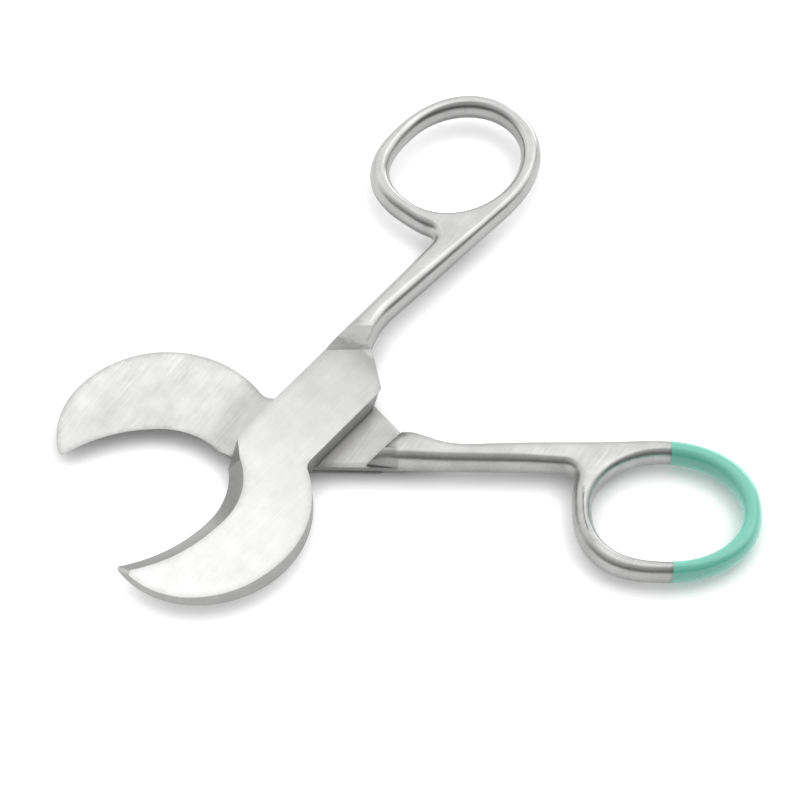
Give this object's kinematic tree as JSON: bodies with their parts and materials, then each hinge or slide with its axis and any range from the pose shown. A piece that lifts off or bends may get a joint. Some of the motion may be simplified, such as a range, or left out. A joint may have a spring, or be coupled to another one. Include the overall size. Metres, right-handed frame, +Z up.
{
  "type": "umbilical cord scissors",
  "caption": "Umbilical cord scissors: facing crescent blades, a screwed lap joint, flat-forged shanks, oval finger rings and a mint coat on the far end of the lower ring.",
  "frame": {"origin": "middle of the box at rest, on the plane the lower half lies on", "axes": "+Z up out of the face it lies on, +X along the lower half from its blade to its finger ring"},
  "size_m": [0.1052, 0.095, 0.0063],
  "materials": {
    "satin_steel": "satin, fine grinding lines",
    "screw_steel": "turned, lightly polished",
    "mint_coat": "glossy dipped coat"
  },
  "bodies": {
    "lower": {"lower_half": "satin_steel", "ring_colour_coat": "mint_coat"},
    "upper": {"upper_half": "satin_steel", "joint_screw": "screw_steel"}
  },
  "joints": [
    {"name": "pivot", "type": "hinge", "parent": "lower", "child": "upper", "pos_m": [-0.01563, -0.01641, 0.00315], "axis": [0, 0, 1], "range_deg": [-53, 40]}
  ]
}
